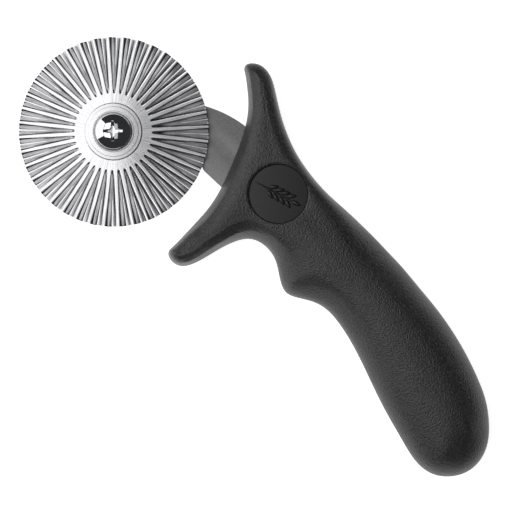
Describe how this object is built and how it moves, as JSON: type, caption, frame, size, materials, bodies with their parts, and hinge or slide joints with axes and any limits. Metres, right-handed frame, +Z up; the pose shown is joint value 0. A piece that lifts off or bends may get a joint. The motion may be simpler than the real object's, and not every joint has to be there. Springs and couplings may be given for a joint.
{
  "type": "pastry cutter wheel",
  "caption": "Handheld pastry cutter: a fluted steel disc turns freely on a flat steel arm, set in a moulded handle with a finger guard and a palm grip.",
  "frame": {"origin": "bottom centre of the bounding box, with the tool lying flat on its side", "axes": "+X from the wheel to the butt of the handle, +Y from the finger side to the thumb side, +Z up along the wheel's axle, towards the screw head"},
  "size_m": [0.1969, 0.0819, 0.025],
  "materials": {
    "handle_plastic": "fine moulded grain",
    "badge_plastic": "smooth satin",
    "arm_steel": "matte tumbled",
    "wheel_steel": "polished sheet",
    "hub_steel": "satin turned",
    "screw_chrome": "bright"
  },
  "bodies": {
    "tool": {"handle": "handle_plastic", "front_badge": "badge_plastic", "rear_badge": "badge_plastic", "arm": "arm_steel", "barrel_nut": "hub_steel", "axle_screw": "screw_chrome", "head_washer": "hub_steel", "rear_washer": "hub_steel"},
    "wheel": {"fluted_wheel": "wheel_steel", "hub_bush": "hub_steel", "hub_collar": "hub_steel"}
  },
  "joints": [
    {"name": "wheel_spin", "type": "hinge", "parent": "tool", "child": "wheel", "pos_m": [-0.0667, -0.0092, 0.01705], "axis": [0, 0, 1], "continuous": true}
  ]
}
